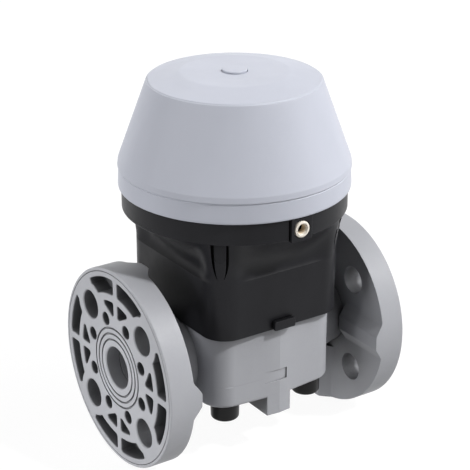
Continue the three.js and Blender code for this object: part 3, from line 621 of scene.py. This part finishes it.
# ---- Bonnet ----
SKIRT_X, SKIRT_Y, SKIRT_CORNER = 35.5, 39, 12
SKIRT_FOOT, LEDGE_Z = 19, 46.9
FLARE_Z, FLARE_RISE, FLARE_R = 48.4, 19.2, 51.2
RING_R, RING_LOW, RING_TOP = 52.2, 67.6, 77.8


def rounded_radius(angle, half_x, half_y, radius):
    """How far a rounded rectangle reaches in a direction."""
    c, s = abs(math.cos(angle)), abs(math.sin(angle))
    flat = min(half_x / max(c, 1e-9), half_y / max(s, 1e-9))
    cx, cy = half_x - radius, half_y - radius
    if flat * c <= cx or flat * s <= cy:
        return flat
    middle = cx * c + cy * s
    return middle + math.sqrt(middle ** 2 - cx ** 2 - cy ** 2 + radius ** 2)


def eased(value):
    """0 to 1 with a soft start and end."""
    value = min(max(value, 0), 1)
    return value * value * (3 - 2 * value)


def ledge_at(angle):
    """How deep the ledge is in a direction, none at the bolt columns, and how slowly the trumpet opens."""
    corner = math.atan2(BOLT_Y, BOLT_X)
    folded = math.acos(min(abs(math.cos(angle)), 1))
    away = abs(folded - corner)
    deepest = 3.4 if folded < corner else 1.7
    return deepest * eased((away - 0.05) / 0.24), 1.4 + 0.4 * eased(away / 0.4)


def skirt_and_flare():
    """The skirt, the sloping ledge on top of it and the trumpet that opens into the ring, in one skin."""
    count = 288
    foot_edge = {SKIRT_FOOT: 0.45, 19.15: 0.15}
    heights = [*foot_edge, 19.5, 30, 46.6, LEDGE_Z]
    heights += [LEDGE_Z + 0.3 * k for k in range(1, 20)] + [53 + 0.7 * k for k in range(24)]
    rings = []
    for z in heights:
        opening = min(max(z - FLARE_Z, 0) / FLARE_RISE, 1.03)
        ring = []
        for k in range(count):
            angle = 2 * math.pi * k / count
            depth, opens = ledge_at(angle)
            inset = foot_edge.get(z, depth * (1 - math.exp(-max(z - LEDGE_Z, 0) / 2.3)))
            low = rounded_radius(angle, SKIRT_X - inset, SKIRT_Y - inset, SKIRT_CORNER - inset)
            radius = low + (FLARE_R - low) * opening ** opens
            ring.append((radius * math.cos(angle), radius * math.sin(angle), z))
        rings.append(ring)
    return loft("skirt", rings)


def corner_face():
    """Cuts the front of a bolt column back to an upright face under the ring."""
    rings = []
    for k in range(15):
        h = k / 14
        width, z = 3.15 + 0.25 * h - 1.6 * (1 - h) ** 4, 58 + 10.2 * h
        rings.append([(49, -width, z), (60, -width, z), (60, width, z), (49, width, z)])
    return loft("face", rings)


def corner_slit(side):
    """The dark slit beside a bolt column, widest under the ring and closing towards the ledge."""
    rings = []
    for k in range(15):
        h = k / 14
        inner = side * (2.75 - 0.2 * (1 - h) - 1.1 * (1 - h) ** 5)
        outer = side * (4.1 - 0.25 * (1 - h) - 2.2 * (1 - h) ** 4)
        z = 49.6 + h * 18.6
        rings.append([(44, inner, z), (60, inner, z), (60, outer, z), (44, outer, z)])
    return loft("slit", rings)


def bonnet():
    """Skirt, flare and actuator ring in one piece, with cavities for all that sits inside."""
    skirt = skirt_and_flare()
    for x, y in BOLTS:
        turn = about("Z", math.degrees(math.atan2(y, x)))
        cut(skirt, moved(corner_slit(1), turn), moved(corner_slit(-1), turn), moved(corner_face(), turn))
    ring = lathe("ring", [(30, RING_LOW), (RING_R, RING_LOW, 0.5), (RING_R, RING_TOP, 0.3),
                          (30, RING_TOP)], 192)
    boss_outline = filleted([(-5.5, -53, 0.25), (5.5, -53, 0.25), (5.5, -49), (-5.5, -49)])
    joined(skirt, ring, prism("boss", boss_outline, 66.8, RING_TOP, 0.25))
    cut(skirt, box("slit", (-6.25, -54, 66.5), (-5.55, -51.0, 79)))
    pocket = prism("pocket", creased(32.1, 35.5, 9.8), 18, 22.6)
    cavities = [
        lathe("seat", [(0, 22), (30.5, 22), (30.5, 24.3), (0, 24.3)]),
        lathe("cavity", [(0, 22), (23.1, 22), (23.1, 53, 1.5), (0, 53)]),
        lathe("bush hole", [(0, 50), (8.4, 50), (8.4, 71), (0, 71)], 64),
        lathe("chamber", [(0, 69.4), (49.1, 69.4, 0.8), (49.1, 79), (0, 79)]),
        lathe("port", [(0, -60), (4.4, -60), (4.4, -53.05), (4.1, -52.7), (4.1, -48.9), (1.8, -48.9),
                       (1.8, -44), (0, -44)], 48, "Y", (0, 0, PORT_Z)),
        box("tag slot", (-4.6, -40, 20.6), (4.6, -36.3, 22.4)),
    ]
    cut(skirt, pocket, *cavities)
    bolt_hole = [(0, 20), (4.9, 20), (4.9, 38.5), (3.6, 38.5), (3.6, 42), (0, 42)]
    for x, y in BOLTS:
        cut(skirt, lathe("bolt hole", bolt_hole, 32, at=(x, y, 0)))
    return skirt


placed(bonnet(), "Bonnet", "housing", ["bonnet"], BLACK_NYLON, 24)


def tag_plate():
    """A rounded plate with a tongue in the skirt's slot."""
    outline = filleted([(-5.7, -2.25, 0.8), (5.7, -2.25, 0.8), (5.7, 2.25, 0.8), (-5.7, 2.25, 0.8)])
    upright = Matrix(((1, 0, 0, 0), (0, 0, -1, -39.3), (0, 1, 0, 21.55), (0, 0, 0, 1)))
    plate = moved(prism("plate", outline, 0, 2.3, 0.3), upright)
    return joined(plate, box("tongue", (-4.3, -40.5, 20.9), (4.3, -36.6, 22.1), 0.1))


placed(tag_plate(), "TagPlate", "housing", ["tag_plate"], BLACK_NYLON)
insert = lathe("insert", [(2.1, -52.2, 0.15), (2.1, -49.8), (3.8, -49.8, 0.2), (3.8, -53.35, 0.35),
                          (2.75, -53.6, 0.2)], 64, "Y", (0, 0, PORT_Z))
placed(insert, "AirPortInsert", "housing", ["air_port_insert"], PORT_INSERT)


# ---- Dome ----
CONE_TOP_R, CONE_TOP_Z = 39.7, 127.7
CONE_LOW_R, CONE_LOW_Z = 53.7, 89.5
ROOF_Z = 130.9


def cone(z):
    """The dome's outer radius at a height."""
    return CONE_TOP_R + (CONE_TOP_Z - z) * (CONE_LOW_R - CONE_TOP_R) / (CONE_TOP_Z - CONE_LOW_Z)


DOME = [
    (46.3, 74.8, 0.3), (48.8, 74.8, 0.3), (48.8, 75.6, 0.1), (47.4, 75.6), (47.4, 77.2), (48.8, 77.2, 0.1),
    (48.8, 78.1),
    (53.5, 78.1, 0.35), (53.65, 79.0, 2), (53.3, 86.75, 0.12), (53.0, 87.0, 0.1), (53.7, 87.75, 0.5),
    (cone(90.3), 90.3, 3), (40.15, 126.7, 0.5), (39.85, 127.35, 0.12), (39.5, 127.3, 0.1),
    (39.1, 127.85, 0.5),
    (24.8, ROOF_Z, 10), (5.9, ROOF_Z, 0.3), (5.9, 116), (7.9, 116), (8.4, 127.6, 1),
    (22, 127.6, 0.5), (24, 125.3, 0.5), (37, 125.3, 1), (cone(122) - 3.3, 122, 1), (46.3, 92.5, 1),
]
placed(lathe("dome", DOME, 224), "ActuatorDome", "housing", ["actuator_dome"], DOME_GREY, 35)


# ---- Small turned pieces ----
def torus_profile(ring, tube, z):
    angles = [k * math.pi / 8 for k in range(16)]
    return [(ring + tube * math.cos(a), z + tube * math.sin(a)) for a in angles]


def turned_piece(name, body, node, material, profile, segments=64, x=0.0, y=0.0):
    return placed(lathe(name, profile, segments, at=(x, y, 0)), name, body, [node], material)


turned_piece("PositionIndicator", "stem_train", "position_indicator", DOME_GREY,
             [(0, 92.8), (3.3, 92.8, 0.3), (3.3, 114, 0.5), (5.6, 116.5, 0.5), (5.6, 131.8, 0.5), (0, 131.8)])
turned_piece("DiaphragmRim", "housing", "diaphragm_rim", DIAPHRAGM_RUBBER,
             [(24.1, 20.9), (30.2, 20.9, 0.4), (30.2, 24, 0.4), (24.1, 24)], 128)
turned_piece("StemGuideBush", "housing", "stem_guide_bush", WHITE_ACETAL,
             [(5.1, 53.3, 0.3), (8.1, 53.3, 0.3), (8.1, 60.5), (6.9, 60.5), (6.9, 62.5), (8.1, 62.5),
              (8.1, 69.7), (10.8, 69.7, 0.2), (10.8, 71.5, 0.3), (5.1, 71.5, 0.3), (5.1, 68.5), (6.8, 68.5),
              (6.8, 66.7), (5.1, 66.7), (5.1, 56.9), (6.8, 56.9), (6.8, 55.1), (5.1, 55.1)])
SEAL_RINGS = [
    ("BushRing", "bush_o_ring", 7.65, 61.5),
    ("StemRingUpper", "stem_o_ring_upper", 5.95, 67.6),
    ("StemRingLower", "stem_o_ring_lower", 5.95, 56),
    ("DomeRing", "dome_o_ring", 48.2, 76.4),
]
for name, node, ring, z in SEAL_RINGS:
    turned_piece(name, "housing", node, SEAL_RUBBER, torus_profile(ring, 0.6, z), 96)
for k, side in enumerate((-1, 1)):
    turned_piece(f"FootInsert{k + 1}", "housing", f"foot_insert_{k + 1}", BRASS,
                 [(2.2, -26, 0.3), (3.5, -26, 0.3), (3.5, -18.5, 0.3), (2.2, -18.5)], 48,
                 y=side * FOOT_INSERT_Y)


def hexagon(radius):
    return [(radius * math.cos(k * math.pi / 3), radius * math.sin(k * math.pi / 3)) for k in range(6)]


def bolt(x, y):
    """A cap screw with a hexagon socket in its head, head down."""
    shank = lathe("bolt", [(0, -23.7), (4.6, -23.7), (5, -23.3, 0.2), (5, -19.1, 0.3), (3, -19.1), (3, 37.4),
                           (2.5, 38), (0, 38)], 40, at=(x, y, 0))
    return cut(shank, moved(prism("socket", hexagon(2.9), -25, -21.6), shifted(x, y)))


for number, (x, y) in enumerate(BOLTS, 1):
    placed(bolt(x, y), f"BodyBolt{number}", "housing", [f"body_bolt_{number}"], STAINLESS)
    turned_piece(f"BoltWasher{number}", "housing", f"bolt_washer_{number}", STAINLESS,
                 [(3.3, -18.8, 0.1), (5.8, -18.8, 0.2), (5.8, -17.2, 0.2), (3.3, -17.2, 0.1)], 48, x, y)
    turned_piece(f"BoltCap{number}", "housing", f"bolt_cap_{number}", CAP_BLACK,
                 [(0, -25.6), (6.6, -25.6, 1.3), (6.8, -17.2, 0.2), (6, -17.2, 0.1), (6, -24.4, 0.6),
                  (0, -24.4)], 64, x, y)
    turned_piece(f"BonnetInsert{number}", "housing", f"bonnet_insert_{number}", BRASS,
                 [(3.3, 25.5, 0.2), (4.6, 25.5, 0.3), (4.6, 38, 0.3), (3.3, 38, 0.2)], 40, x, y)


# ---- Diaphragm and springs ----
membrane_under, membrane_over = bowl_curve(22.6, 3.6, 23.8), bowl_curve(24, 6.1, 22.5)
membrane = lathe("membrane", [*membrane_under, (23.8, 24), *membrane_over[::-1]], 128)
placed(membrane, "DiaphragmMembrane", "housing", ["diaphragm_membrane"], DIAPHRAGM_RUBBER)


def spring(coil, wire, low, high, turns):
    """Round wire of a given radius whose end coils close up and are ground flat."""
    sides, steps = 14, int(turns * 40)
    closing = 0.9 / turns * 0.8  # the share of the wire that closes up at each end
    closed_rise = 2.05 * wire * 0.8
    open_rise = high - low - 2 * wire * 0.55 - 2 * closed_rise
    points = []
    for i in range(steps + 1):
        t = i / steps
        angle = t * turns * 2 * math.pi
        opened = min(max((t - closing) / (1 - 2 * closing), 0), 1)
        closed = min(t / closing, 1) + min(max((t - 1 + closing) / closing, 0), 1)
        z = low + 0.55 * wire + closed * closed_rise + opened * open_rise
        for k in range(sides):
            around = 2 * math.pi * k / sides
            radius = coil + wire * math.cos(around)
            height = min(max(z + wire * math.sin(around), low), high)
            points.append((radius * math.cos(angle), radius * math.sin(angle), height))
    faces = []
    for i in range(steps):
        low_ring, high_ring = i * sides, (i + 1) * sides
        for k in range(sides):
            j = (k + 1) % sides
            faces.append((low_ring + k, low_ring + j, high_ring + j, high_ring + k))
    faces += [tuple(range(sides)), tuple(range(steps * sides, (steps + 1) * sides))]
    return build("spring", points, faces)


SPRING_SEAT = 80.4
outer_spring = spring(29.8, 2.2, SPRING_SEAT, 125, 5.5)
inner_spring = spring(17.4, 1.6, SPRING_SEAT, 127.3, 8.5)
placed(outer_spring, "OuterSpring", "housing", ["outer_spring"], SPRING_STEEL)
placed(inner_spring, "InnerSpring", "housing", ["inner_spring"], SPRING_STEEL)
for piece in (membrane, outer_spring, inner_spring):
    piece.modifiers.clear()
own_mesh(membrane)
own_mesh(outer_spring)
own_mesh(inner_spring)


# ---- Moving train ----
def cross_hole():
    """Cuts the pin's hole through the compressor and the stem."""
    return lathe("bore", [(0, -15), (1.9, -15), (1.9, 15), (0, 15)], 32, "Y", (0, 0, PIN_Z))


pressing = [p for p in bowl_curve(24, 6.4, 22.2) if p[0] < 19.6]
compressor = lathe("compressor", [*pressing, (20.6, 18.2, 0.5), (20.6, 24.8, 1), (11.5, 30, 2),
                                  (11.5, 43, 0.5), (0, 43)], 96)
stem_hole = lathe("bore", [(0, 28.1), (5.3, 28.1), (5.3, 44), (0, 44)], 48)
stud_hole = lathe("bore", [(0, 0), (2.8, 0), (2.8, 29), (0, 29)], 32)
cut(compressor, stem_hole, stud_hole, cross_hole())
placed(compressor, "Compressor", "stem_train", ["compressor"], BLACK_NYLON)
turned_piece("DiaphragmStud", "stem_train", "diaphragm_stud", STAINLESS,
             [(0, 6.5), (2.5, 6.5, 0.3), (2.5, 27.8, 0.3), (0, 27.8)], 40)
pin = lathe("pin", [(0, -10.5), (1.6, -10.5, 0.25), (1.6, 10.5, 0.25), (0, 10.5)], 40, "Y", (0, 0, PIN_Z))
placed(pin, "CompressorPin", "stem_train", ["compressor_pin"], STAINLESS)
stem = lathe("stem", [(0, 28.4), (4.3, 28.4), (5, 29.1), (5, 74.1, 0.2), (4, 74.1), (4, 91.8), (3.3, 92.5),
                      (0, 92.5)], 64)
cut(stem, cross_hole())
placed(stem, "Stem", "stem_train", ["stem"], STAINLESS)
turned_piece("Piston", "stem_train", "piston", WHITE_ACETAL,
             [(4.3, 74.4, 0.3), (9.1, 74.4, 0.5), (10, 76.8, 0.5), (45.9, 76.8, 0.3), (45.9, 78.4),
              (43.3, 78.4), (43.3, 81), (45.9, 81), (45.9, 82.6, 0.3), (40.5, 82.6, 0.5), (39, 80.1, 0.5),
              (12, 80.1, 0.5), (11.2, 83.5, 0.3), (4.3, 83.5)], 128)
turned_piece("PistonSeal", "stem_train", "piston_seal", SEAL_RUBBER,
             [(43.6, 78.7), (45.7, 78.7, 0.1), (46.1, 79.7, 0.3), (45.7, 80.7, 0.1), (43.6, 80.7)], 128)
turned_piece("PistonWasher", "stem_train", "piston_washer", STAINLESS,
             [(4.3, 83.8, 0.1), (10.8, 83.8, 0.2), (10.8, 85.8, 0.2), (4.3, 85.8, 0.1)])
across_flats = 13
chamfer = lathe("chamfer", [(0, 86), (6.6, 86.05), (7.6, 86.8), (7.6, 90.9), (6.6, 91.65), (0, 91.7)], 48)
nut = combined(prism("nut", hexagon(across_flats / math.sqrt(3)), 86.1, 91.6), "INTERSECT", chamfer)
cut(nut, lathe("bore", [(0, 85), (4.3, 85), (4.3, 93), (0, 93)], 40))
placed(nut, "PistonNut", "stem_train", ["piston_nut"], STAINLESS)


# ---- Stage ----
STAGE_SIZE = 6000
SUNS = [  # name, strength, angular size in degrees, direction that the light comes from
    ("Key", 2.3, 4, (0.36, -0.56, 0.75)),
    ("Left", 1.95, 50, (-0.97, 0.24, 0.1)),
    ("Top", 0.35, 50, (-0.45, 0.1, 0.88)),
    ("Right", 2.1, 40, (0.74, -0.42, 0.52)),
    ("Rear", 1.2, 40, (0.1, 0.92, 0.36)),
    ("Bounce", 0.9, 60, (0.15, -0.7, -0.7)),
]
MAKES_HIGHLIGHTS = ("Key", "Top", "Rear")
CAMERA_AT = (-380.0, -568.0, 339.1)
CAMERA_AIM = (-1.92, -3.19, 52.57)


def glowing(name, strength):
    """A faintly mottled pale surface that shines by itself."""
    made = Finish(name, specular=0.0)
    made.shader.inputs["Emission Color"].default_value = (1, 1, 1, 1)
    made.shader.inputs["Emission Strength"].default_value = strength
    mottle = made.ranged(made.noise(400.0, 2.0), 0.0, 1.0)
    colour = made.mix(mottle, (0.1, 0.1, 0.1, 1), (0.12, 0.12, 0.12, 1))
    return made.finish(colour, made.ranged(made.noise(60.0), 0.7, 0.8), [], 0)


def surroundings():
    """A floor just under the object and a round backdrop; neither gives it diffuse light or shadow."""
    low, far = FLOOR_Z - 0.05, STAGE_SIZE
    corners = [(side_x * far, side_y * far, low) for side_x, side_y in CORNERS]
    floor = build("Floor", corners, [(0, 1, 2, 3)])
    floor.data.materials.append(glowing("pale_floor", 0.93))
    backdrop = lathe("Backdrop", [(far - 100, FLOOR_Z - 1), (far - 100, far), (0, far), (0, far + 10),
                                  (far - 90, far + 10), (far - 90, FLOOR_Z - 1)], 64)
    backdrop.data.materials.append(glowing("white_backdrop", 0.95))
    for piece in (floor, backdrop):
        piece.visible_diffuse = piece.visible_shadow = False


def lamp(name, kind, strength, toward):
    """A light that shines from a direction."""
    light = bpy.data.lights.new(name, kind)
    light.energy = strength
    made = linked(name, light)
    made.rotation_euler = Vector(toward).to_track_quat("Z", "Y").to_euler()
    made.visible_glossy = name in MAKES_HIGHLIGHTS
    return made


def lighting():
    world = bpy.data.worlds.new("Studio")
    bpy.context.scene.world = world
    world.use_nodes = True
    background = world.node_tree.nodes["Background"]
    background.inputs["Color"].default_value = (1, 1, 1, 1)
    background.inputs["Strength"].default_value = 0.06
    for name, strength, spread, toward in SUNS:
        lamp(name, "SUN", strength, toward).data.angle = math.radians(spread)
    # A small lamp in front of the inlet flange.
    place = Vector((-0.35, -0.06, 0))
    face = lamp("Face", "AREA", 0.02, place - Vector((-FACE_X * MM, 0, -0.01)))
    face.location = place
    face.data.size, face.data.spread = 0.1, math.radians(30)


def camera():
    lens = bpy.data.cameras.new("Camera")
    lens.lens, lens.sensor_width, lens.clip_end = 121.6, 36, 50
    made = linked("Camera", lens)
    made.location = Vector(CAMERA_AT) * MM
    aim = Vector(CAMERA_AIM) * MM - made.location
    made.rotation_euler = aim.to_track_quat("-Z", "Y").to_euler()
    bpy.context.scene.camera = made


surroundings()
lighting()
camera()
bpy.context.scene.view_settings.view_transform = "Standard"
